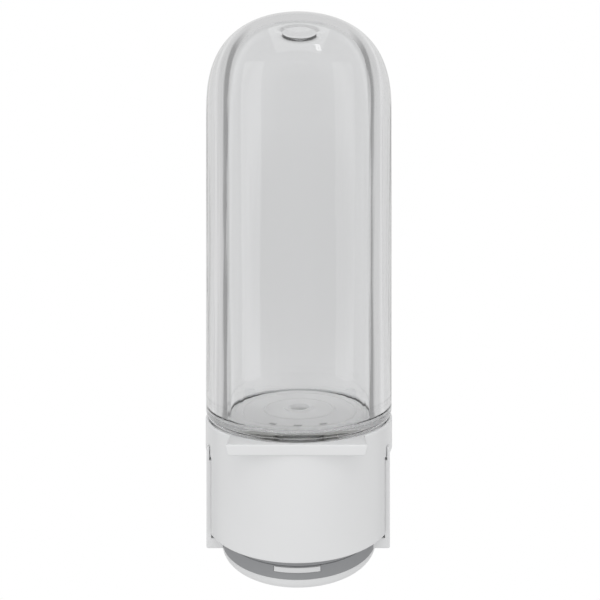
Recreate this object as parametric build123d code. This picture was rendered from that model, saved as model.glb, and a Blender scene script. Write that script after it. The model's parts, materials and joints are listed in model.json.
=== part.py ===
from build123d import *
import os
from math import cos, radians, sin

# Wall mounted soap dispenser: a clear inverted tank stands in a white rocking cover, over a piston pump.
#
# Everything is modelled about the tank's upright axis, with z = 0 at the lowest point, the front towards -Y
# and the wall towards +Y. place() then moves it to the frame of the wall: the origin is midway between the
# two wall screws on the wall's face. Millimetres throughout.

# ---- driving dimensions ----
WALL_Y = 45.0            # wall face, behind the tank's axis
SCREW_Z = 32.0           # wall screws, above the lowest point

TANK_R = 39.75           # outer radius of the tank
TANK_BASE = 56.0         # the tank's flat bottom
TANK_CORNER = 5.0        # rounding of its bottom corner
DOME_BASE = 185.9        # where the outer dome starts
DOME_RISE = 40.0
DOME_POWER = 2.6         # exponent of the dome's superellipse
BORE_R = 31.2            # inner radius of the tank
BORE_FLOOR = 58.8
FLOOR_HOLE_R = 4.5       # hole of the plate that lies on the floor and plugs the neck
PLATE_R = 30.6
PLATE_TOP = 59.8
BORE_DOME_BASE = 183.0
BORE_DOME_RISE = 37.4
BORE_DOME_POWER = 3.1
GATE_R = 7.8             # shallow moulded recess at the top of the inner dome
GATE_TOP_R = 7.0
GATE_TOP = 221.2
NECK_R = 14.0
NECK_BORE_R = 11.0
NECK_END = 42.0

COVER_R = 39.95          # outer radius of the rocking cover
COVER_IN_R = 37.8
COVER_LOW = 14.0         # bottom edge of the front shell
BAND_LOW = 45.0          # bottom edge of the band that reaches round to the hinge
RIM = 57.5               # top of the cover and of the rear collar
RIM_IN_R = 38.4
RIM_ROUND = 0.8          # rounding of its outer edge
EDGE_ROUND = 0.5         # rounding of the mouldings' other edges
SHELL_HALF_ANGLE = 60.3  # half opening angles of the shell and of the band, from straight ahead
BAND_HALF_ANGLE = 95.0
LEDGE_HALF = 26.2        # finger ledge: half width, height, slant of its ends and front plane
LEDGE_HIGH = 4.1
LEDGE_SLANT = 1.2
LEDGE_Y = -40.7
LEDGE_ROUND = 0.6

PIVOT_Z = 50.0           # hinge line of the cover, over the tank's axis
PIN_R = 2.0
RUNNING = 0.05           # radial clearance of a running fit

HOUSING_HALF = 36.9      # rear housing: half width, wall, front and back of the tray
HOUSING_WALL = 2.05
HOUSING_FRONT = -18.7
HOUSING_BACK = 42.0
BACK_WALL = 2.5
HOUSING_LOW = 7.9
FLOOR = 2.0
EAR_IN = 30.2            # the ears reach in to here and up to here
EAR_TOP = 12.3
EAR_DEEP = 4.0
COLLAR_FRONT = 4.5       # the collar starts here, behind the band
WALL_TOP_FRONT = 43.5    # the side walls' tops fall towards the front, clear of the rocking band
WALL_TOP_BACK = 44.3
POST_TOP = 49.0          # corner posts outside the band

DECK_R = 37.0            # deck that the tank stands on
DECK_LOW = 53.5
SOCKET_R = 18.0
SOCKET_LOW = 44.0

PUMP_Z = 24.5            # axis of the pump
CYL_R = 9.0              # cylinder bore
BLOCK_HALF = 12.0
BLOCK_FRONT = -12.0
BLOCK_BACK = 14.0
BLOCK_LOW = 12.5
BLOCK_TOP = 36.5
TOWER_R = 6.0            # inlet tower that enters the tank's cap
TOWER_TOP = 44.0
ROD_R = 3.5
HEAD_Y = -21.5           # front face of the piston's head
PAD_Y = -21.8            # front of the pusher pad, 0.3 clear of the head

SKIRT_R = 33.2           # upper grey ring
BAND_R = 33.0            # lower grey ring
SKIRT_WALL = 2.2
SKIRT_LOW = 9.3
SKIRT_TOP = 15.0
CAP_TOP = 4.0            # base cap: top, radius at the very bottom, and hollow
CAP_LOW_R = 31.2
CAP_HOLLOW_R = 28.6
OUTLET_R = 9.0
TAB_HALF = 8.8           # release tab
TAB_LOW = 6.65
TAB_TOP = 8.55


# ---- small shapes ----
def block(x0, x1, y0, y1, z0, z1):
    """Box between two corners."""
    return Pos((x0 + x1) / 2, (y0 + y1) / 2, (z0 + z1) / 2) * Box(x1 - x0, y1 - y0, z1 - z0)


def pillar(radius, low, high, x=0.0, y=0.0):
    """Upright round bar."""
    return Pos(x, y, (low + high) / 2) * Cylinder(radius, high - low)


def tube(outer, inner, low, high, x=0.0, y=0.0):
    """Upright round tube."""
    return pillar(outer, low, high, x, y) - pillar(inner, low - 1, high + 1, x, y)


def rod_y(radius, y0, y1, x=0.0, z=0.0):
    """Round bar along Y."""
    return Pos(x, (y0 + y1) / 2, z) * Rot(90, 0, 0) * Cylinder(radius, y1 - y0)


def rod_x(radius, x0, x1, y=0.0, z=0.0):
    """Round bar along X."""
    return Pos((x0 + x1) / 2, y, z) * Rot(0, 90, 0) * Cylinder(radius, x1 - x0)


def spun(*edges):
    """Solid turned about the upright axis from a closed outline of (radius, height) curves."""
    return revolve(Plane.XZ * make_face(Wire(edges)), Axis.Z)


def turned(points):
    """Solid turned about the upright axis from (radius, height) corners."""
    return revolve(Plane.XZ * make_face(Polyline(*points, close=True)), Axis.Z)


def front_wedge(half_angle, low, high):
    """Everything within an angle to either side of straight ahead."""
    far = 90.0
    edge = (far * sin(radians(half_angle)), -far * cos(radians(half_angle)))
    outline = Polyline((0, 0), edge, (far, -far), (-far, -far), (-edge[0], edge[1]), close=True)
    return Pos(0, 0, low) * extrude(make_face(outline), high - low)


def coil(radius, wire, length, turns):
    """Coil spring along +Z, from 0 to its length."""
    path = Helix(pitch=(length - 2 * wire) / turns, height=length - 2 * wire, radius=radius)
    section = Plane(path @ 0, z_dir=path % 0) * Circle(wire)
    return Pos(0, 0, wire) * sweep(section, path, is_frenet=True)


def dome(radius, base, rise, power, end_radius=0.0, steps=9):
    """Curve of a superellipse from its widest point up to end_radius, and its last point."""
    def height(r):
        return base + rise * (1 - (r / radius) ** power) ** (1 / power)

    def slope(r):
        return rise / radius * (r / radius) ** (power - 1) * (1 - (r / radius) ** power) ** (1 / power - 1)

    top = (1 - (end_radius / radius) ** power) ** 0.5
    turns = [top * i / steps for i in range(steps + 1)]
    radii = [radius * (1 - t * t) ** (1 / power) for t in turns]
    radii[-1] = end_radius
    points = [(r, height(r)) for r in radii]
    return Spline(*points, tangents=[(0, 1), (-1, slope(end_radius))]), points[-1]


def screw_y(x, z, head_y, under_y, tip_y, head_r, shank_r):
    """Pan head screw along Y, with a cross recess; the head lies between head_y and under_y."""
    step = 1.0 if tip_y > head_y else -1.0
    head = rod_y(head_r, min(head_y, under_y), max(head_y, under_y), x, z)
    shank = rod_y(shank_r, min(under_y, tip_y), max(under_y, tip_y), x, z)
    deep = head_y + step * 0.9
    low, high = min(head_y - step, deep), max(head_y - step, deep)
    slot = block(x - 0.3, x + 0.3, low, high, z - 1.3, z + 1.3)
    slot += block(x - 1.3, x + 1.3, low, high, z - 0.3, z + 0.3)
    return head + shank - slot


# ---- tank ----
def tank():
    """Clear thick-walled bottle, neck down."""
    side, apex = dome(TANK_R, DOME_BASE, DOME_RISE, DOME_POWER)
    outer = spun(
        Line((0, TANK_BASE), (TANK_R - TANK_CORNER, TANK_BASE)),
        RadiusArc((TANK_R - TANK_CORNER, TANK_BASE), (TANK_R, TANK_BASE + TANK_CORNER), TANK_CORNER),
        Line((TANK_R, TANK_BASE + TANK_CORNER), (TANK_R, DOME_BASE)),
        side,
        Line(apex, (0, TANK_BASE)),
    )
    inner_side, rim = dome(BORE_R, BORE_DOME_BASE, BORE_DOME_RISE, BORE_DOME_POWER, GATE_R)
    inner = spun(
        Line((0, BORE_FLOOR), (BORE_R, BORE_FLOOR)),
        Line((BORE_R, BORE_FLOOR), (BORE_R, BORE_DOME_BASE)),
        inner_side,
        Line(rim, (GATE_TOP_R, GATE_TOP)),
        Line((GATE_TOP_R, GATE_TOP), (0, GATE_TOP)),
        Line((0, GATE_TOP), (0, BORE_FLOOR)),
    )
    neck = pillar(NECK_R, NECK_END, BORE_FLOOR)
    for turn in range(2):
        root = NECK_END + 2.2 + 3.4 * turn
        neck += turned([(NECK_R - 1, root), (NECK_R, root), (NECK_R + 1, root + 0.6),
                        (NECK_R + 1, root + 1.2), (NECK_R, root + 1.8), (NECK_R - 1, root + 1.8)])
    neck += pillar(NECK_R + 2.5, 51.5, 53.3)
    return outer + neck - inner - pillar(NECK_BORE_R, NECK_END - 1, BORE_FLOOR + 1)


def floor_plate():
    """Pale plate on the tank's floor: a plug in the neck, a hole with a raised lip, rings and rim notches."""
    plate = tube(PLATE_R, FLOOR_HOLE_R, BORE_FLOOR, PLATE_TOP)
    plate += tube(NECK_BORE_R - 0.02, FLOOR_HOLE_R, BORE_FLOOR - 2.0, BORE_FLOOR)
    plate += tube(FLOOR_HOLE_R + 1.6, FLOOR_HOLE_R, PLATE_TOP, PLATE_TOP + 0.7)
    for radius in (28.6, 24.0):
        plate += tube(radius, radius - 0.7, PLATE_TOP, PLATE_TOP + 0.25)
    notch = block(-1.1, 1.1, -PLATE_R - 1, 1.2 - PLATE_R, BORE_FLOOR - 1, PLATE_TOP + 1)
    for angle in (-19, 0, 19):
        plate -= Rot(0, 0, angle) * notch
    return plate


def neck_seal():
    """Soft ring round the neck that fills the mouth of the socket."""
    return tube(SOCKET_R - 0.4, NECK_R, 54.2, TANK_BASE)


def tank_cap():
    """Screw cap on the neck, open in the middle for the inlet tower."""
    cap = pillar(17.0, 38.0, 50.0) - pillar(15.4, 40.5, 51.0) - pillar(TOWER_R + 0.8, 37.0, 41.0)
    ribs = 24
    for i in range(ribs):
        angle = radians(360 / ribs * i)
        cap -= pillar(0.6, 39.0, 51.0, 17.2 * cos(angle), 17.2 * sin(angle))
    return cap


def cap_gasket():
    """Washer between the neck and the cap's floor."""
    return tube(NECK_R, 10.0, 40.5, NECK_END)


def cap_valve():
    """Rubber sleeve whose lips are held open by the inlet tower."""
    return tube(9.8, 7.2, 40.5, NECK_END) + tube(8.2, 7.2, NECK_END, 46.0)


# ---- rocking cover ----
def rim_opening():
    """Flared mouth of the rim, to cut away where the tank stands."""
    mouth = RIM_IN_R + 0.5
    return turned([(0, RIM - 1.3), (RIM_IN_R, RIM - 1.3), (mouth, RIM), (mouth, RIM + 1), (0, RIM + 1)])


def rim_ring(low):
    """Solid disc up to the rim, with the rim's outer edge rounded."""
    disc = pillar(COVER_R, low, RIM)
    return fillet(disc.edges().group_by(Axis.Z)[-1], RIM_ROUND)


def ledge():
    """Flat fronted finger ledge under the rim, with rounded edges."""
    low, far = RIM - LEDGE_HIGH, LEDGE_HALF - LEDGE_SLANT
    outline = Polyline((-LEDGE_HALF, 0, RIM), (LEDGE_HALF, 0, RIM), (far, 0, low), (-far, 0, low), close=True)
    bar = Pos(0, LEDGE_Y, 0) * extrude(make_face(outline), 14.0, dir=(0, 1, 0))
    bar = fillet(bar.edges().filter_by(Axis.Y), 0.9)
    return fillet(bar.edges().group_by(Axis.Y)[0], LEDGE_ROUND)


def push_cover():
    """Front shell, band, rim and ledge in one moulding, with hinge bosses and the seat for the pusher."""
    shell = tube(COVER_R, COVER_IN_R, COVER_LOW, BAND_LOW)
    shell = shell & front_wedge(SHELL_HALF_ANGLE, COVER_LOW, BAND_LOW)
    shell = fillet(shell.edges().group_by(Axis.Z)[0], EDGE_ROUND)
    band = rim_ring(BAND_LOW) - pillar(COVER_IN_R, BAND_LOW - 1, RIM + 1)
    band = band & front_wedge(BAND_HALF_ANGLE, BAND_LOW, RIM)
    cover = shell + band + ledge()
    cover -= pillar(RIM_IN_R, RIM - LEDGE_HIGH, RIM + 1)
    cover -= rim_opening()
    for side in (-1, 1):
        inner, outer = sorted((side * 37.4, side * 39.4))
        cover += rod_x(4.0, inner, outer, 0, PIVOT_Z)
        bore = sorted((side * 37.0, side * 39.2))
        cover -= rod_x(PIN_R + RUNNING, *bore, 0, PIVOT_Z)
        cover += Rot(0, 0, 38 * side) * block(-0.8, 0.8, -38.4, -35.9, 18.0, 50.0)
    cover += block(-13, 13, -39.4, -36, 17.5, 31.5) & pillar(39.0, 17.5, 31.5)
    for x in (-9, 9):
        cover -= rod_y(1.2, -38.4, -35.0, x, PUMP_Z)
    return cover


def pusher():
    """Plate and post behind the cover."""
    piece = block(-11.2, 11.2, -36, -34, 18.5, 30.5) + rod_y(4.4, -34, -24, 0, PUMP_Z)
    piece += block(-0.9, 0.9, -34, -26, 18.8, 30.2)
    for x in (-9, 9):
        piece -= rod_y(1.3, -37, -33, x, PUMP_Z)
    return piece


def pusher_pad():
    """Soft pad on the post's end."""
    return rod_y(3.6, -24, PAD_Y, 0, PUMP_Z)


def cover_screw(x):
    """Screw from inside, through the pusher's plate into the cover."""
    return screw_y(x, PUMP_Z, -32.4, -34.0, -38.2, 2.4, 1.1)


# ---- rear housing and wall plate ----
def wall_plate():
    """Plate on the wall, with two hooks and two countersunk holes for the wall screws."""
    plate = block(-33, 33, HOUSING_BACK, WALL_Y, 9.5, 54.0)
    plate = fillet(plate.edges().filter_by(Axis.Y), 4.0)
    for side in (-1, 1):
        x = side * 20.0
        plate -= rod_y(2.25, HOUSING_BACK - 1, WALL_Y + 1, x, SCREW_Z)
        plate -= Pos(x, HOUSING_BACK + 0.6, SCREW_Z) * Rot(90, 0, 0) * Cone(2.25, 4.45, 2.2)
        x0, x1 = sorted((side * 26.0, side * 32.0))
        plate += block(x0, x1, 36.6, HOUSING_BACK, 44.0, 46.5) + block(x0, x1, 36.6, 38.9, 46.5, 49.5)
        plate -= rod_y(1.25, HOUSING_BACK - 1, 44.2, side * 29.0, 16.0)
    return plate


def rear_housing():
    """Open tray with side walls, ears, rear collar and hinge cheeks."""
    inner = HOUSING_HALF - HOUSING_WALL
    back = HOUSING_BACK - BACK_WALL
    tray = block(-HOUSING_HALF, HOUSING_HALF, HOUSING_FRONT, HOUSING_BACK, HOUSING_LOW, RIM)
    tray = fillet(tray.edges().filter_by(Axis.Z).group_by(Axis.Y)[-1], 4.0)
    tray = fillet(tray.edges().filter_by(Axis.Z).group_by(Axis.Y)[0], EDGE_ROUND)
    tray = fillet(tray.edges().filter_by(Axis.Y).group_by(Axis.Z)[0], 0.9)
    outside = tray
    tray += rim_ring(BAND_LOW) & block(-50, 50, COLLAR_FRONT, 50, BAND_LOW, RIM)
    tray -= block(-inner, inner, HOUSING_FRONT - 1, back, HOUSING_LOW + FLOOR, RIM - 2.0)
    tray -= pillar(RIM_IN_R, BAND_LOW + 2.0, RIM + 1)
    tray -= block(-inner, inner, HOUSING_FRONT - 1, back, BAND_LOW - 1, RIM - 2.0)
    tray -= rim_opening()
    # room for the rocking band in front of the collar
    tray -= block(-50, 50, HOUSING_FRONT - 1, COLLAR_FRONT, WALL_TOP_BACK, RIM + 1)
    top = [(HOUSING_FRONT, WALL_TOP_FRONT), (-4.5, WALL_TOP_BACK), (-4.5, RIM), (HOUSING_FRONT, RIM)]
    slope = Polyline(*[(0, y, z) for y, z in top], close=True)
    tray -= Pos(-50, 0, 0) * extrude(make_face(slope), 100.0, dir=(1, 0, 0))
    # round opening for the skirt, and the ears beside it
    tray -= pillar(SKIRT_R + 0.4, HOUSING_LOW - 1, HOUSING_LOW + FLOOR + 0.01)
    tray -= block(-EAR_IN, EAR_IN, HOUSING_FRONT - 1, 0, HOUSING_LOW - 1, HOUSING_LOW + FLOOR + 0.01)
    for side in (-1, 1):
        x0, x1 = sorted((side * EAR_IN, side * HOUSING_HALF))
        tray += block(x0, x1, HOUSING_FRONT, HOUSING_FRONT + EAR_DEEP, HOUSING_LOW, EAR_TOP) & outside
        x0, x1 = sorted((side * inner, side * HOUSING_HALF))
        post = block(x0, x1, HOUSING_FRONT, -15.0, WALL_TOP_FRONT - 0.5, POST_TOP)
        tray += (post & outside) - pillar(COVER_R + 0.35, WALL_TOP_FRONT - 0.5, POST_TOP)
        x0, x1 = sorted((side * 34.0, side * 36.8))
        cheek = block(x0, x1, -4.5, 4.5, 40.0, PIVOT_Z) + rod_x(4.5, x0, x1, 0, PIVOT_Z)
        tray += cheek & block(-50, 50, -5, 5, 40.0, DECK_LOW)
        tray -= rod_x(PIN_R, min(x0, x1) - 1, max(x0, x1) + 1, 0, PIVOT_Z)
        x0, x1 = sorted((side * 25.7, side * 32.3))
        tray -= block(x0, x1, back - 1, HOUSING_BACK + 1, 43.7, 50.0)
        tray -= rod_y(1.6, back - 1, HOUSING_BACK + 1, side * 29.0, 16.0)
        tray -= rod_y(1.25, back - 1, HOUSING_BACK - 0.6, side * 20.0, 20.0)
    return tray


def hinge_pin(side):
    """Pin pressed into the cheek; its free end carries the cover."""
    x0, x1 = sorted((side * 33.4, side * 39.0))
    return rod_x(PIN_R, x0, x1, 0, PIVOT_Z)


def housing_screw(x):
    """Screw that locks the housing to the wall plate."""
    return screw_y(x, 16.0, 37.5, 39.5, 44.0, 2.9, 1.2)


def carrier_screw(x):
    """Screw that holds the pump carrier to the housing's back."""
    return screw_y(x, 20.0, 35.0, 37.0, 41.2, 2.9, 1.2)


# ---- deck and pump ----
def seat_deck():
    """Round deck with the socket for the tank's neck."""
    deck = tube(DECK_R, SOCKET_R, DECK_LOW, TANK_BASE) + tube(SOCKET_R + 2, SOCKET_R, SOCKET_LOW, DECK_LOW)
    for x in (-14, 14):
        deck -= pillar(1.6, DECK_LOW - 1, TANK_BASE + 1, x, 31)
        deck -= Pos(x, 31, TANK_BASE - 0.75) * Cone(1.6, 3.2, 1.5)
    for i in range(4):
        deck += Rot(0, 0, 45 + 90 * i) * block(19.0, 35.0, -0.8, 0.8, 50.5, DECK_LOW)
    return deck


def deck_screw(x):
    """Countersunk screw, flush with the deck."""
    head = Pos(x, 31, TANK_BASE - 0.8) * Cone(1.5, 3.0, 1.4)
    screw = head + pillar(1.2, 51.4, TANK_BASE - 1.4, x, 31)
    return screw - block(x - 0.3, x + 0.3, 29.6, 32.4, TANK_BASE - 0.7, TANK_BASE + 1)


def pump_carrier():
    """Bracket on the housing's back, with two arms for the pump and a flange for the deck."""
    bracket = block(-24, 24, 37, 39.5, 12.5, 51.0) + block(-20, 20, 28, 39.5, 51.0, DECK_LOW)
    for side in (-1, 1):
        x0, x1 = sorted((side * BLOCK_HALF, side * (BLOCK_HALF + 2.5)))
        bracket += block(x0, x1, -10, 37, SKIRT_TOP + 0.5, 34.0)
        gusset = Polyline((0, 37, 40), (0, 29, 51), (0, 37, 51), close=True)
        bracket += Pos(side * 17 - 1, 0, 0) * extrude(make_face(gusset), 2.0, dir=(1, 0, 0))
        bracket -= rod_y(1.5, 36, 40, side * 20.0, 20.0)
        bracket -= pillar(1.25, 50, 54, side * 14, 31)
    return bracket


def pump_block():
    """Cylinder block with the inlet tower on top."""
    body = block(-BLOCK_HALF, BLOCK_HALF, BLOCK_FRONT, BLOCK_BACK, BLOCK_LOW, BLOCK_TOP)
    body = fillet(body.edges().filter_by(Axis.Y), 2.0)
    body += pillar(TOWER_R, BLOCK_TOP, TOWER_TOP)
    body -= rod_y(CYL_R, BLOCK_FRONT - 1, BLOCK_BACK - 5, 0, PUMP_Z)
    body -= pillar(2.2, PUMP_Z, 36.0) + pillar(3.4, 35.5, 41.5) + pillar(2.0, 41.0, TOWER_TOP + 1)
    body -= pillar(2.2, BLOCK_LOW - 1, PUMP_Z)
    return body - tube(TOWER_R + 1, TOWER_R - 0.6, 41.3, 42.7)


def pump_gland():
    """Ring that closes the cylinder and guides the rod."""
    return rod_y(11.4, BLOCK_FRONT - 2, BLOCK_FRONT, 0, PUMP_Z) - rod_y(
        ROD_R + RUNNING, BLOCK_FRONT - 3, BLOCK_FRONT + 1, 0, PUMP_Z)


def inlet_seal():
    """O-ring in the tower's groove."""
    return Pos(0, 0, 42.0) * Torus(TOWER_R + 0.05, 0.62)


def inlet_ball():
    """Ball under the inlet seat."""
    return Pos(0, 0, 39.75) * Sphere(2.6)


def inlet_spring():
    """Small spring that holds the ball on its seat."""
    return Pos(0, 0, 35.5) * coil(1.7, 0.2, 2.2, 3)


def outlet_nozzle():
    """Flanged nozzle under the pump."""
    return pillar(7.0, 10.5, BLOCK_LOW) + pillar(5.0, 3.0, 10.5) - pillar(3.2, 2.0, BLOCK_LOW + 1)


def outlet_valve():
    """Rubber duckbill inside the nozzle."""
    lips = Polyline((-2.8, 9.0), (2.8, 9.0), (0.6, 5.4), (-0.6, 5.4), close=True)
    bill = extrude(Plane.YZ * make_face(lips), 2.6, both=True) & pillar(3.1, 5.0, 9.0)
    return bill + pillar(3.1, 9.0, 12.4) - pillar(1.6, 7.6, 13.0)


def piston():
    """Head, rod and crown of the piston."""
    rod = rod_y(8.0, HEAD_Y, HEAD_Y + 1.5, 0, PUMP_Z) + rod_y(ROD_R, HEAD_Y + 1.5, -9.0, 0, PUMP_Z)
    return rod + rod_y(8.6, -9.0, -8.0, 0, PUMP_Z) + rod_y(5.0, -8.0, -5.5, 0, PUMP_Z)


def piston_cup():
    """Sealing cup on the crown."""
    cup = rod_y(CYL_R - RUNNING, -8.0, -5.5, 0, PUMP_Z) - rod_y(5.0, -9.0, -4.0, 0, PUMP_Z)
    return cup - (rod_y(8.2, -6.8, -5.0, 0, PUMP_Z) - rod_y(5.9, -6.8, -5.0, 0, PUMP_Z))


def return_spring():
    """Coil spring between the gland and the piston's head."""
    return Pos(0, -14.0, PUMP_Z) * Rot(90, 0, 0) * coil(6.2, 0.55, 6.0, 3)


# ---- skirt, base cap and release tab ----
def upper_skirt():
    """Upper grey ring with the floor under the pump."""
    skirt = tube(SKIRT_R, SKIRT_R - SKIRT_WALL, SKIRT_LOW, SKIRT_TOP)
    skirt += tube(SKIRT_R, 5.2, SKIRT_LOW, SKIRT_LOW + 1.2)
    for side in (-1, 1):
        x0, x1 = sorted((side * 30.0, side * (HOUSING_HALF - HOUSING_WALL - 0.1)))
        lug = block(x0, x1, 10, 18, HOUSING_LOW + FLOOR, 12.6)
        skirt += lug - pillar(SKIRT_R - SKIRT_WALL, 9.0, 14.0)
    return skirt


def base_skirt():
    """Lower grey ring with the window for the release tab."""
    ring = tube(BAND_R, BAND_R - 2.0, CAP_TOP, SKIRT_LOW)
    ring -= tube(BAND_R + 1, BAND_R - 0.35, SKIRT_LOW - 0.35, SKIRT_LOW + 1)
    gap = 0.12
    return ring - block(-TAB_HALF - gap, TAB_HALF + gap, -40, -25, TAB_LOW - gap, TAB_TOP + gap)


def base_cap():
    """White rounded bottom with the outlet opening and the stop of the tab's spring."""
    bowl = spun(
        Line((OUTLET_R, 0), (CAP_LOW_R, 0)),
        ThreePointArc((CAP_LOW_R, 0), (BAND_R - 0.6, 1.25), (BAND_R, CAP_TOP)),
        Line((BAND_R, CAP_TOP), (OUTLET_R, CAP_TOP)),
        Line((OUTLET_R, CAP_TOP), (OUTLET_R, 0)),
    )
    bowl -= tube(CAP_HOLLOW_R, OUTLET_R + 1.6, 1.6, CAP_TOP + 1)
    bowl += tube(BAND_R - 2.2, CAP_HOLLOW_R, CAP_TOP, 7.5)
    bowl -= block(-10, 10, -33, -25, 6.2, 9.0)
    return bowl + block(-3, 3, -20.6, -19.0, 1.0, 9.1)


def release_tab():
    """Sprung tab: its face closes the window, its stem carries the spring."""
    face = tube(BAND_R + 0.1, BAND_R - 1.7, TAB_LOW, TAB_TOP) & block(-TAB_HALF, TAB_HALF, -40, -20, 0, 20)
    stem = block(-7.5, 7.5, -31.4, -26.0, TAB_LOW + 0.2, TAB_TOP - 0.2) - tube(40, BAND_R - 1.3, 0, 20)
    return face + stem


def tab_spring():
    """Coil spring behind the tab."""
    return Pos(0, -20.6, (TAB_LOW + TAB_TOP) / 2) * Rot(90, 0, 0) * coil(1.0, 0.22, 5.4, 5)


# ---- all pieces ----
def pieces():
    """Every piece by name, in the frame it is modelled in."""
    made = {
        "wall_plate": wall_plate(),
        "rear_housing": rear_housing(),
        "seat_deck": seat_deck(),
        "pump_carrier": pump_carrier(),
        "pump_block": pump_block(),
        "pump_gland": pump_gland(),
        "inlet_seal": inlet_seal(),
        "inlet_ball": inlet_ball(),
        "inlet_spring": inlet_spring(),
        "outlet_nozzle": outlet_nozzle(),
        "outlet_valve": outlet_valve(),
        "upper_skirt": upper_skirt(),
        "base_skirt": base_skirt(),
        "base_cap": base_cap(),
        "push_cover": push_cover(),
        "pusher": pusher(),
        "pusher_pad": pusher_pad(),
        "piston": piston(),
        "piston_cup": piston_cup(),
        "return_spring": return_spring(),
        "release_tab": release_tab(),
        "tab_spring": tab_spring(),
        "tank": tank(),
        "floor_plate": floor_plate(),
        "neck_seal": neck_seal(),
        "tank_cap": tank_cap(),
        "cap_gasket": cap_gasket(),
        "cap_valve": cap_valve(),
    }
    for name, side in (("left", -1), ("right", 1)):
        made[f"hinge_pin_{name}"] = hinge_pin(side)
        made[f"housing_screw_{name}"] = housing_screw(29.0 * side)
        made[f"carrier_screw_{name}"] = carrier_screw(20.0 * side)
        made[f"deck_screw_{name}"] = deck_screw(14.0 * side)
        made[f"cover_screw_{name}"] = cover_screw(9.0 * side)
    return made


def place(shape):
    """Move a piece to the wall's frame."""
    return Pos(0, -WALL_Y, -SCREW_Z) * shape


os.makedirs("parts", exist_ok=True)
for node, shape in pieces().items():
    export_step(place(shape), f"parts/{node}.step")
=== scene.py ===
import json
import math

import bmesh
import bpy
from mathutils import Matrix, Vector


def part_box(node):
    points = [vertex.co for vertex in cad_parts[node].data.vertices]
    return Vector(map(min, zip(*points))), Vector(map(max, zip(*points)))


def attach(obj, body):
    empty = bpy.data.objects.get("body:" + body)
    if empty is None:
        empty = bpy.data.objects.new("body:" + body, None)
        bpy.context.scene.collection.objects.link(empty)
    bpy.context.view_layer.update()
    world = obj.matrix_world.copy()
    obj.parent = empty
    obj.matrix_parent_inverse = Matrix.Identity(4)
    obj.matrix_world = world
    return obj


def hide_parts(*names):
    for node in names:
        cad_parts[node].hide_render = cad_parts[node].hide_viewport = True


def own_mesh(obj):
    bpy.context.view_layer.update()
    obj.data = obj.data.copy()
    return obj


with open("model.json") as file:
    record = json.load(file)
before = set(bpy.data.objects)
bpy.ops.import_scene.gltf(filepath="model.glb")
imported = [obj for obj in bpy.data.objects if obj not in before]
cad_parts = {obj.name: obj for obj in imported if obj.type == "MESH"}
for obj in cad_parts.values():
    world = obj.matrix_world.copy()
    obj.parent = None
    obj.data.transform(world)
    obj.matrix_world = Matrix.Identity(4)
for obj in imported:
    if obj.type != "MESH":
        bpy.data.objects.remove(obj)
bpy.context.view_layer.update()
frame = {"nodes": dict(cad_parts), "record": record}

# The camera, the studio and the materials of a wall mounted soap dispenser, with the pieces that need
# more detail than their CAD solids: the clear tank, its neck thread, the plate on its floor and the two
# coil springs. Sizes named here are in millimetres, and heights are above the dispenser's lowest point;
# places read from the frame, the floor and the lamps are in metres.

NODES = frame["nodes"]
MM = 0.001


# ---- places read from the frame, in metres -------------------------------------------------------
def corners(node):
    """Lowest and highest corner of a CAD node."""
    low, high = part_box(node)
    return Vector(low), Vector(high)


TANK_LOW, TANK_HIGH = corners("tank")
AXIS_Y = (TANK_LOW.y + TANK_HIGH.y) / 2
BOTTOM = corners("base_cap")[0].z


# ---- camera --------------------------------------------------------------------------------------
CAMERA_X = 5.8
CAMERA_DISTANCE = 243.3
CAMERA_HEIGHT = 128.9
FOCAL_LENGTH = 33.57
SENSOR_WIDTH = 36.0
SHIFT = (-0.0210, -0.0873)


def make_camera():
    """Level camera in front of the tank, a little below its middle."""
    data = bpy.data.cameras.new("camera")
    data.lens = FOCAL_LENGTH
    data.sensor_width = SENSOR_WIDTH
    data.shift_x, data.shift_y = SHIFT
    data.clip_start = 0.01
    data.clip_end = 100.0
    data.dof.use_dof = False
    camera = bpy.data.objects.new("camera", data)
    camera.location = (CAMERA_X * MM, AXIS_Y - CAMERA_DISTANCE * MM, BOTTOM + CAMERA_HEIGHT * MM)
    camera.rotation_euler = (math.radians(90), 0, 0)
    bpy.context.scene.collection.objects.link(camera)
    bpy.context.scene.camera = camera


# ---- node helpers --------------------------------------------------------------------------------
class Graph:
    """Short way to build a node tree."""

    def __init__(self, tree):
        self.tree = tree
        self.tree.nodes.clear()

    def add(self, kind, **values):
        """New node, with its settings and inputs set by name (an underscore stands for a space)."""
        node = self.tree.nodes.new(kind)
        for key, value in values.items():
            if hasattr(node, key):
                setattr(node, key, value)
            else:
                node.inputs[key.replace("_", " ")].default_value = value
        return node

    def link(self, source, target):
        self.tree.links.new(source, target)

    def mix(self, share, first, second):
        """Colour that goes from the socket first to the plain colour second."""
        node = self.add("ShaderNodeMix", data_type="RGBA")
        self.link(share, node.inputs["Factor"])
        self.link(first, node.inputs[6])
        node.inputs[7].default_value = (*second, 1.0)
        return node.outputs[2]

    def ramp(self, source, stops):
        """Colour ramp over a value, from (place, colour) stops."""
        node = self.tree.nodes.new("ShaderNodeValToRGB")
        elements = node.color_ramp.elements
        while len(elements) < len(stops):
            elements.new(0.5)
        for element, (place, value) in zip(elements, stops):
            element.position = place
            element.color = (*value, 1.0)
        self.link(source, node.inputs["Fac"])
        return node.outputs["Color"]


def grey(value):
    return (value, value, value)


WHITE = (1, 1, 1, 1)


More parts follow.
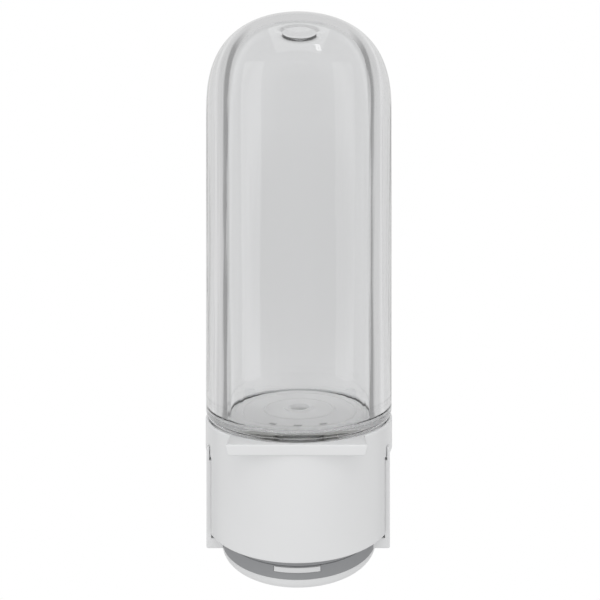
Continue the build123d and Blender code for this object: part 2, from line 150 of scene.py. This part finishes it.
# ---- studio --------------------------------------------------------------------------------------
def make_world():
    """White studio; seen through the tank or reflected it has a pale back, a dark ring and pale sides."""
    world = bpy.data.worlds.new("studio")
    world.use_nodes = True
    bpy.context.scene.world = world
    graph = Graph(world.node_tree)
    place = graph.add("ShaderNodeTexCoord")
    split = graph.add("ShaderNodeSeparateXYZ")
    graph.link(place.outputs["Generated"], split.inputs[0])
    # 0 is straight ahead of the dispenser, 1 is straight behind it
    onto = graph.add("ShaderNodeMapRange", From_Min=-1.0)
    graph.link(split.outputs["Y"], onto.inputs["Value"])
    studio = graph.ramp(onto.outputs["Result"], [
        (0.0, grey(0.86)), (0.45, grey(0.66)), (0.66, grey(0.56)), (0.69, grey(0.30)),
        (0.755, grey(0.30)), (0.785, grey(0.60)), (0.86, grey(0.68)), (0.90, grey(0.84)),
        (0.935, grey(0.72)), (0.975, grey(0.72)), (0.99, grey(0.64)), (1.0, grey(0.62)),
    ])
    # the dark ring is only at eye level; above and below it the studio is even
    upright = graph.add("ShaderNodeMath", operation="ABSOLUTE")
    graph.link(split.outputs["Z"], upright.inputs[0])
    steep = graph.add("ShaderNodeMapRange", From_Min=0.48, From_Max=0.70)
    graph.link(upright.outputs[0], steep.inputs["Value"])
    light = graph.add("ShaderNodeBackground")
    graph.link(graph.mix(steep.outputs["Result"], studio, grey(0.66)), light.inputs["Color"])
    white = graph.add("ShaderNodeBackground", Color=WHITE)
    path = graph.add("ShaderNodeLightPath")
    mix = graph.add("ShaderNodeMixShader")
    graph.link(path.outputs["Is Camera Ray"], mix.inputs[0])
    graph.link(light.outputs[0], mix.inputs[1])
    graph.link(white.outputs[0], mix.inputs[2])
    out = graph.add("ShaderNodeOutputWorld")
    graph.link(mix.outputs[0], out.inputs["Surface"])


def make_floor(half=9.0, drop=0.45):
    """Plain pale floor, well below the dispenser."""
    mesh = bpy.data.meshes.new("floor")
    z = BOTTOM - drop
    corner = [(-half, -half, z), (half, -half, z), (half, half, z), (-half, half, z)]
    mesh.from_pydata(corner, [], [(0, 1, 2, 3)])
    floor = bpy.data.objects.new("floor", mesh)
    bpy.context.scene.collection.objects.link(floor)
    material = bpy.data.materials.new("floor")
    material.use_nodes = True
    graph = Graph(material.node_tree)
    glow = graph.add("ShaderNodeEmission", Color=WHITE)
    out = graph.add("ShaderNodeOutputMaterial")
    graph.link(glow.outputs[0], out.inputs["Surface"])
    mesh.materials.append(material)
    floor.visible_diffuse = False
    floor.visible_glossy = False
    floor.visible_transmission = False
    floor.visible_shadow = False


def area_light(name, place, aim, size, power):
    """Rectangular lamp that isn't seen through the clear tank, with its places and size in metres."""
    data = bpy.data.lights.new(name, "AREA")
    data.shape = "RECTANGLE"
    data.size, data.size_y = size
    data.energy = power
    light = bpy.data.objects.new(name, data)
    light.location = place
    light.rotation_euler = (Vector(aim) - Vector(place)).to_track_quat("-Z", "Y").to_euler()
    light.visible_transmission = False
    bpy.context.scene.collection.objects.link(light)


def make_lights():
    """Two tall soft lamps in front, a large one overhead and a small one that sparks on the dome."""
    centre = (0, AXIS_Y, BOTTOM + 0.1)
    area_light("soft_left", (-0.9, AXIS_Y - 0.6, 0.25), centre, (0.5, 1.1), 1.6)
    area_light("soft_right", (0.9, AXIS_Y - 0.6, 0.25), centre, (0.5, 1.1), 1.1)
    area_light("soft_top", (0, AXIS_Y - 0.4, 1.1), centre, (0.9, 0.9), 2.2)
    area_light("spark_right", (0.36, AXIS_Y - 0.66, 0.98), centre, (0.10, 0.16), 0.22)


# ---- materials -----------------------------------------------------------------------------------
EDGE_RADIUS = 0.35
# the flow lines of the clear plastic fade between these depths below the dome's top
FLOW_FADE_LOW, FLOW_FADE_HIGH = 45.0, 12.0
FLOW_STRONG, FLOW_FAINT = 0.40, 0.02


def new_material(name):
    material = bpy.data.materials.new(name)
    material.use_nodes = True
    return material, Graph(material.node_tree)


def finish_material(graph, shader):
    out = graph.add("ShaderNodeOutputMaterial")
    graph.link(shader.outputs[0], out.inputs["Surface"])


def noise(graph, scale, detail=2.0, stretch=None):
    """Noise over the object, in features per metre; a stretch below 1 draws them out along that axis."""
    place = graph.add("ShaderNodeTexCoord").outputs["Object"]
    node = graph.add("ShaderNodeTexNoise", Scale=scale, Detail=detail)
    if stretch is not None:
        fit = graph.add("ShaderNodeMapping", Scale=stretch)
        graph.link(place, fit.inputs["Vector"])
        place = fit.outputs["Vector"]
    graph.link(place, node.inputs["Vector"])
    return node.outputs["Fac"]


def bumped(graph, height, strength, distance, under=None):
    """Bump node for a height, on top of another normal if one is given."""
    bump = graph.add("ShaderNodeBump", Strength=strength, Distance=distance)
    graph.link(height, bump.inputs["Height"])
    if under is not None:
        graph.link(under, bump.inputs["Normal"])
    return bump


def spread(graph, value, low, high):
    """Value between low and high, from one between 0 and 1."""
    node = graph.add("ShaderNodeMapRange", To_Min=low, To_Max=high)
    graph.link(value, node.inputs["Value"])
    return node.outputs["Result"]


def moulded(name, color, rough, grain=1400.0, depth=0.02 * MM, mottle=0.03, coat=0.0):
    """Injection moulded plastic: slow mottle in colour and gloss over a fine spark-eroded grain."""
    material, graph = new_material(name)
    shader = graph.add("ShaderNodeBsdfPrincipled", IOR=1.5, Coat_Weight=coat, Coat_Roughness=0.12)
    low = tuple(c * (1 - mottle) for c in color)
    high = tuple(min(1.0, c * (1 + mottle)) for c in color)
    tint = graph.ramp(noise(graph, 38.0, 3.0), [(0.3, low), (0.7, high)])
    graph.link(tint, shader.inputs["Base Color"])
    gloss = spread(graph, noise(graph, 210.0, 4.0), rough * 0.88, rough * 1.12)
    graph.link(gloss, shader.inputs["Roughness"])
    # softly rounded edges under the grain
    edge = graph.add("ShaderNodeBevel", samples=6, Radius=EDGE_RADIUS * MM)
    bump = bumped(graph, noise(graph, grain), 0.25, depth, edge.outputs["Normal"])
    graph.link(bump.outputs["Normal"], shader.inputs["Normal"])
    finish_material(graph, shader)
    return material


def clear_plastic(name):
    """Clear thick copolyester: polished, faintly grey, with upright flow lines and a slow waviness."""
    material, graph = new_material(name)
    shader = graph.add("ShaderNodeBsdfPrincipled", Transmission_Weight=1.0, Roughness=0.0, IOR=1.5)
    shader.inputs["Base Color"].default_value = (0.955, 0.958, 0.962, 1)
    waves = bumped(graph, noise(graph, 16.0, 1.0), 0.04, 0.2 * MM)
    streaks = noise(graph, 190.0, 2.0, (1.0, 1.0, 0.06))
    lines = bumped(graph, streaks, FLOW_STRONG, 0.2 * MM, waves.outputs["Normal"])
    # the lines fade out over the dome
    place = graph.add("ShaderNodeTexCoord")
    split = graph.add("ShaderNodeSeparateXYZ")
    graph.link(place.outputs["Object"], split.inputs[0])
    fade = graph.add("ShaderNodeMapRange", To_Min=FLOW_STRONG, To_Max=FLOW_FAINT)
    fade.inputs["From Min"].default_value = TANK_HIGH.z - FLOW_FADE_LOW * MM
    fade.inputs["From Max"].default_value = TANK_HIGH.z - FLOW_FADE_HIGH * MM
    graph.link(split.outputs["Z"], fade.inputs["Value"])
    graph.link(fade.outputs["Result"], lines.inputs["Strength"])
    graph.link(lines.outputs["Normal"], shader.inputs["Normal"])
    finish_material(graph, shader)
    return material


def frosted(name):
    """Milky polypropylene that lets light through; its slots are darkened with painted shade."""
    material, graph = new_material(name)
    shader = graph.add("ShaderNodeBsdfPrincipled", Transmission_Weight=0.45, Roughness=0.28, IOR=1.3)
    tint = graph.ramp(noise(graph, 45.0, 3.0), [(0.3, grey(0.93)), (0.7, grey(0.97))])
    painted_slot_shade = graph.add("ShaderNodeAttribute", attribute_name="painted_slot_shade")
    # painted shade: the slots are coloured near black in place of the shade that falls in them
    graph.link(graph.mix(painted_slot_shade.outputs["Fac"], tint, grey(0.03)), shader.inputs["Base Color"])
    bump = bumped(graph, noise(graph, 1500.0), 0.2, 0.02 * MM)
    graph.link(bump.outputs["Normal"], shader.inputs["Normal"])
    finish_material(graph, shader)
    return material


def metal(name, color, rough):
    """Bright steel with fine turning marks."""
    material, graph = new_material(name)
    shader = graph.add("ShaderNodeBsdfPrincipled", Metallic=1.0)
    dark = tuple(c * 0.9 for c in color)
    graph.link(graph.ramp(noise(graph, 300.0), [(0.35, dark), (0.65, color)]), shader.inputs["Base Color"])
    gloss = spread(graph, noise(graph, 900.0, 3.0), rough * 0.7, rough * 1.3)
    graph.link(gloss, shader.inputs["Roughness"])
    finish_material(graph, shader)
    return material


def make_materials():
    """Every material by name; all but milky_plastic bear the name of a slot of the record."""
    return {
        "white_plastic": moulded("white_plastic", (0.80, 0.805, 0.81), 0.30, coat=0.25, mottle=0.008),
        "band_grey": moulded("band_grey", (0.31, 0.315, 0.325), 0.45, mottle=0.03),
        "deck_plastic": moulded("deck_plastic", (0.82, 0.825, 0.83), 0.4, mottle=0.015),
        "grey_plastic": moulded("grey_plastic", (0.42, 0.43, 0.45), 0.4, mottle=0.03),
        "steel": metal("steel", (0.66, 0.67, 0.69), 0.25),
        "black_rubber": moulded("black_rubber", (0.035, 0.035, 0.037), 0.7, grain=2200.0, depth=0.04 * MM),
        "pale_rubber": moulded("pale_rubber", (0.62, 0.62, 0.6), 0.5, grain=1800.0),
        "clear_tank": clear_plastic("clear_tank"),
        "milky_plastic": frosted("milky_plastic"),
    }


# ---- mesh helpers --------------------------------------------------------------------------------
def add_object(name, mesh, material, body):
    """Piece of the object that rides on a body and takes a material slot of the record."""
    obj = bpy.data.objects.new(name, mesh)
    bpy.context.scene.collection.objects.link(obj)
    mesh.materials.append(material)
    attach(obj, body)
    return obj


def about_axis(radius, angle, height):
    """Point in metres, from a radius and a height in mm and an angle about the tank's axis."""
    return (radius * MM * math.cos(angle), AXIS_Y + radius * MM * math.sin(angle), BOTTOM + height * MM)


def to_mesh(build, name):
    """Mesh of a closed surface, with its faces turned outwards."""
    bmesh.ops.recalc_face_normals(build, faces=build.faces)
    mesh = bpy.data.meshes.new(name)
    build.to_mesh(mesh)
    build.free()
    return mesh


def no_change(radius, angle):
    """Height added to a turned solid that is the same all round."""
    return 0.0


def lathe(name, loop, turns=160, change=no_change):
    """Closed solid turned about the tank's axis from a closed loop of (radius, height)."""
    build = bmesh.new()
    rings = []
    for radius, height in loop:
        if radius == 0:
            rings.append([build.verts.new(about_axis(0, 0, height))] * turns)
            continue
        ring = []
        for i in range(turns):
            angle = 2 * math.pi * i / turns
            ring.append(build.verts.new(about_axis(radius, angle, height + change(radius, angle))))
        rings.append(ring)
    for a, b in zip(rings, rings[1:] + rings[:1]):
        for i in range(turns):
            j = (i + 1) % turns
            corner = []
            for vert in (a[i], a[j], b[j], b[i]):
                if vert not in corner:
                    corner.append(vert)
            if len(corner) > 2:
                build.faces.new(corner)
    mesh = to_mesh(build, name)
    mesh.polygons.foreach_set("use_smooth", [True] * len(mesh.polygons))
    return mesh


def tube_mesh(name, rows):
    """Tube with flat ends through rows of points."""
    build = bmesh.new()
    made = [[build.verts.new(point) for point in row] for row in rows]
    sides = len(made[0])
    for a, b in zip(made, made[1:]):
        for k in range(sides):
            build.faces.new((a[k], a[(k + 1) % sides], b[(k + 1) % sides], b[k]))
    build.faces.new(made[0])
    build.faces.new(made[-1][::-1])
    return to_mesh(build, name)


def arc(centre, radius, start, end, steps=8):
    """Points of a circular arc, angles in degrees."""
    points = []
    for i in range(steps + 1):
        angle = math.radians(start + (end - start) * i / steps)
        points.append((centre[0] + radius * math.cos(angle), centre[1] + radius * math.sin(angle)))
    return points


# ---- tank ----------------------------------------------------------------------------------------
TANK_R = (TANK_HIGH.x - TANK_LOW.x) / 2 / MM
TANK_TOP = (TANK_HIGH.z - BOTTOM) / MM
TANK_BASE = 56.0
DOME_BASE, DOME_POWER = TANK_TOP - 40.0, 2.6
BORE_R, BORE_FLOOR = 31.2, 58.8
BORE_DOME_BASE, BORE_DOME_RISE, BORE_DOME_POWER = TANK_TOP - 42.9, 37.4, 3.1
NECK_R, NECK_BORE, NECK_END, NECK_CHAMFER = 14.0, 11.0, 42.0, 0.4
# outside at the neck's root and round the base, inside round the floor and at the neck's mouth
ROOT_FILLET, BASE_FILLET, FLOOR_FILLET, MOUTH_FILLET = 2.0, 5.0, 3.0, 1.5
GATE_R, GATE_RISE = 7.8, 0.6


def superellipse(radius, base, rise, power, end=0.0, steps=40):
    """Points of the dome's outline from its widest point up to the radius end."""
    points = []
    last = (1 - (end / radius) ** power) ** 0.5
    for i in range(steps + 1):
        t = last * i / steps
        r = radius * (1 - t * t) ** (1 / power)
        points.append((r, base + rise * (t * t) ** (1 / power)))
    points[-1] = (end, points[-1][1])
    return points


def tank_loop():
    """Outline of the tank's wall: up the outside from the neck, then down the inside."""
    outer = [(NECK_R, NECK_END + NECK_CHAMFER), (NECK_R, TANK_BASE - ROOT_FILLET)]
    outer += arc((NECK_R + ROOT_FILLET, TANK_BASE - ROOT_FILLET), ROOT_FILLET, 180, 90, 6)
    outer += arc((TANK_R - BASE_FILLET, TANK_BASE + BASE_FILLET), BASE_FILLET, -90, 0, 10)
    outer += superellipse(TANK_R, DOME_BASE, TANK_TOP - DOME_BASE, DOME_POWER)
    inner = superellipse(BORE_R, BORE_DOME_BASE, BORE_DOME_RISE, BORE_DOME_POWER, GATE_R)
    # the gate's mark is a low soft step under the middle of the dome
    foot = inner[-1][1]
    inner += [(GATE_R - 0.2, foot + GATE_RISE / 2), (GATE_R - 0.8, foot + GATE_RISE - 0.1)]
    inner += [(GATE_R - 1.6, foot + GATE_RISE), (0.0, foot + GATE_RISE)]
    floor = arc((BORE_R - FLOOR_FILLET, BORE_FLOOR + FLOOR_FILLET), FLOOR_FILLET, 0, -90, 8)
    floor += arc((NECK_BORE + MOUTH_FILLET, BORE_FLOOR - MOUTH_FILLET), MOUTH_FILLET, 90, 180, 5)
    floor += [(NECK_BORE, NECK_END + NECK_CHAMFER), (NECK_BORE + NECK_CHAMFER, NECK_END)]
    floor += [(NECK_R - NECK_CHAMFER, NECK_END)]
    return outer + inner[::-1] + floor


PLATE_R, PLATE_TOP, PLATE_HOLE = 29.4, 59.8, 4.5
PLATE_RINGS = (28.0, 24.6, 15.0)
RING_RISE, RING_WIDTH = 0.4, 0.4
LIP_R, LIP_RISE, LIP_SLOPE = 6.1, 0.7, 0.12
EDGE_DROP, EDGE_WIDTH = 0.5, 0.6
SLOT_MIDDLE, SLOT_HALF, SLOT_DEEP = 22.5, 0.85, 0.8
# degrees: the front of the plate, the step between its slots, and how far a slot reaches to either side
SLOT_FRONT, SLOT_STEP, SLOT_REACH = 270.0, 25.0, 3.8


def in_slot(radius, angle):
    """True in the three short slots at the front of the floor plate."""
    off = math.degrees(angle) - SLOT_FRONT
    nearest = min(abs(off - k * SLOT_STEP) for k in (-1, 0, 1))
    return abs(radius - SLOT_MIDDLE) < SLOT_HALF and nearest < SLOT_REACH


def plate_loop(steps=150):
    """Outline of the plate on the tank's floor: lip, fine rings, rounded edge, and the plug underneath."""
    top = []
    for i in range(steps + 1):
        r = PLATE_HOLE + (PLATE_R - PLATE_HOLE) * i / steps
        lip = LIP_RISE / (1 + math.exp((r - LIP_R) / LIP_SLOPE))
        rings = sum(RING_RISE * math.exp(-((r - ring) / RING_WIDTH) ** 2) for ring in PLATE_RINGS)
        edge = EDGE_DROP * max(0.0, (r - PLATE_R + EDGE_WIDTH) / EDGE_WIDTH) ** 2
        top.append((r, PLATE_TOP + lip + rings - edge))
    low = BORE_FLOOR + 0.05
    plug = NECK_BORE - 0.1
    return top + [(PLATE_R, low), (plug, low), (plug, low - 2.0), (PLATE_HOLE, low - 2.0)]


def slot_change(radius, angle):
    """Height added to the plate's surface, which is lower in the slots."""
    return -SLOT_DEEP if in_slot(radius, angle) else 0.0


def floor_disc(name):
    """Plate on the tank's floor, with its slots marked for the painted shade in the material."""
    mesh = lathe(name, plate_loop(), 360, slot_change)
    # marks the slots, which the material darkens with painted shade
    painted_slot_shade = mesh.attributes.new("painted_slot_shade", "FLOAT", "POINT")
    for vert, value in zip(mesh.vertices, painted_slot_shade.data):
        x, y = vert.co.x / MM, (vert.co.y - AXIS_Y) / MM
        value.value = 1.0 if in_slot(math.hypot(x, y), math.atan2(y, x) % (2 * math.pi)) else 0.0
    return mesh


def thread_ridge(name, radius, pitch, turns, low, depth, steps=96):
    """Helical ridge of a screw thread round the neck, fading in and out at its ends."""
    rows = []
    count = int(steps * turns)
    for i in range(count + 1):
        angle = 2 * math.pi * i / steps
        z = low + pitch * i / steps
        fade = min(1.0, 8.0 * i / count, 8.0 * (count - i) / count)
        crest = radius + depth * max(fade, 0.02)
        root = radius - 0.2
        section = [(root, 0.0), (crest, 0.55), (crest, 1.05), (root, 1.6)]
        rows.append([about_axis(r, angle, z + up) for r, up in section])
    return tube_mesh(name, rows)


def make_tank(materials):
    """The clear wall with its neck thread, and the plate on its floor."""
    mesh = lathe("tank_wall", tank_loop())
    wall = add_object("tank_wall", mesh, materials["clear_tank"], "tank")
    wall.visible_shadow = False
    thread = thread_ridge("neck_thread", NECK_R, pitch=3.0, turns=1.9, low=43.0, depth=1.1)
    add_object("neck_thread", thread, materials["clear_tank"], "tank")
    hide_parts("tank")
    disc = floor_disc("floor_disc")
    plate = add_object("floor_disc", disc, materials["milky_plastic"], "tank")
    plate.visible_shadow = False
    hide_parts("floor_plate")


# ---- coil springs --------------------------------------------------------------------------------
END_RISE = 0.08   # the share of the length that a coil climbs evenly, its end turns included


def coil_mesh(name, node, radius, wire, turns, steps=40, sides=14):
    """Closed-end coil along Y in the place of a CAD spring, from the coil's and the wire's radius in mm."""
    low, high = corners(node)
    middle = (low + high) / 2
    length = high.y - low.y - 2 * wire * MM
    rows = []
    count = int(steps * turns)
    for i in range(count + 1):
        share = i / count
        # the first and last half turn lie nearly flat against the seats
        flat = 0.5 / turns
        run = min(max((share - flat) / (1 - 2 * flat), 0.0), 1.0)
        run = END_RISE * share + (1 - END_RISE) * run * run * (3 - 2 * run)
        angle = 2 * math.pi * turns * share
        row = []
        for k in range(sides):
            round_wire = 2 * math.pi * k / sides
            r = (radius + wire * math.cos(round_wire)) * MM
            y = high.y - wire * MM - length * run + wire * MM * math.sin(round_wire)
            row.append((middle.x + r * math.cos(angle), y, middle.z + r * math.sin(angle)))
        rows.append(row)
    mesh = tube_mesh(name, rows)
    mesh.polygons.foreach_set("use_smooth", [len(face.vertices) == 4 for face in mesh.polygons])
    return mesh


def make_springs(materials):
    """The pump's return spring and the small spring behind the tab."""
    for node, joint, radius, wire, turns, travel in (
            ("return_spring", "piston_stroke", 6.2, 0.55, 4.0, 2.6),
            ("tab_spring", "tab_press", 1.0, 0.22, 6.0, 1.5)):
        mesh = coil_mesh(f"{node}_coil", node, radius, wire, turns)
        spring = add_object(f"{node}_coil", mesh, materials["steel"], "housing")
        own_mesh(spring)
        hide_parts(node)


# ---- CAD nodes that stay -------------------------------------------------------------------------
def dress_nodes(materials):
    """Every CAD node takes the material named by its slot in the record."""
    for entry in frame["record"]["subparts"]:
        node = NODES[entry["node"]]
        node.data.materials.clear()
        node.data.materials.append(materials[entry["material_slot"]])


# ---- scene ---------------------------------------------------------------------------------------
make_camera()
make_world()
make_floor()
make_lights()
MATERIALS = make_materials()
dress_nodes(MATERIALS)
make_tank(MATERIALS)
make_springs(MATERIALS)
bpy.context.scene.view_settings.view_transform = "Standard"
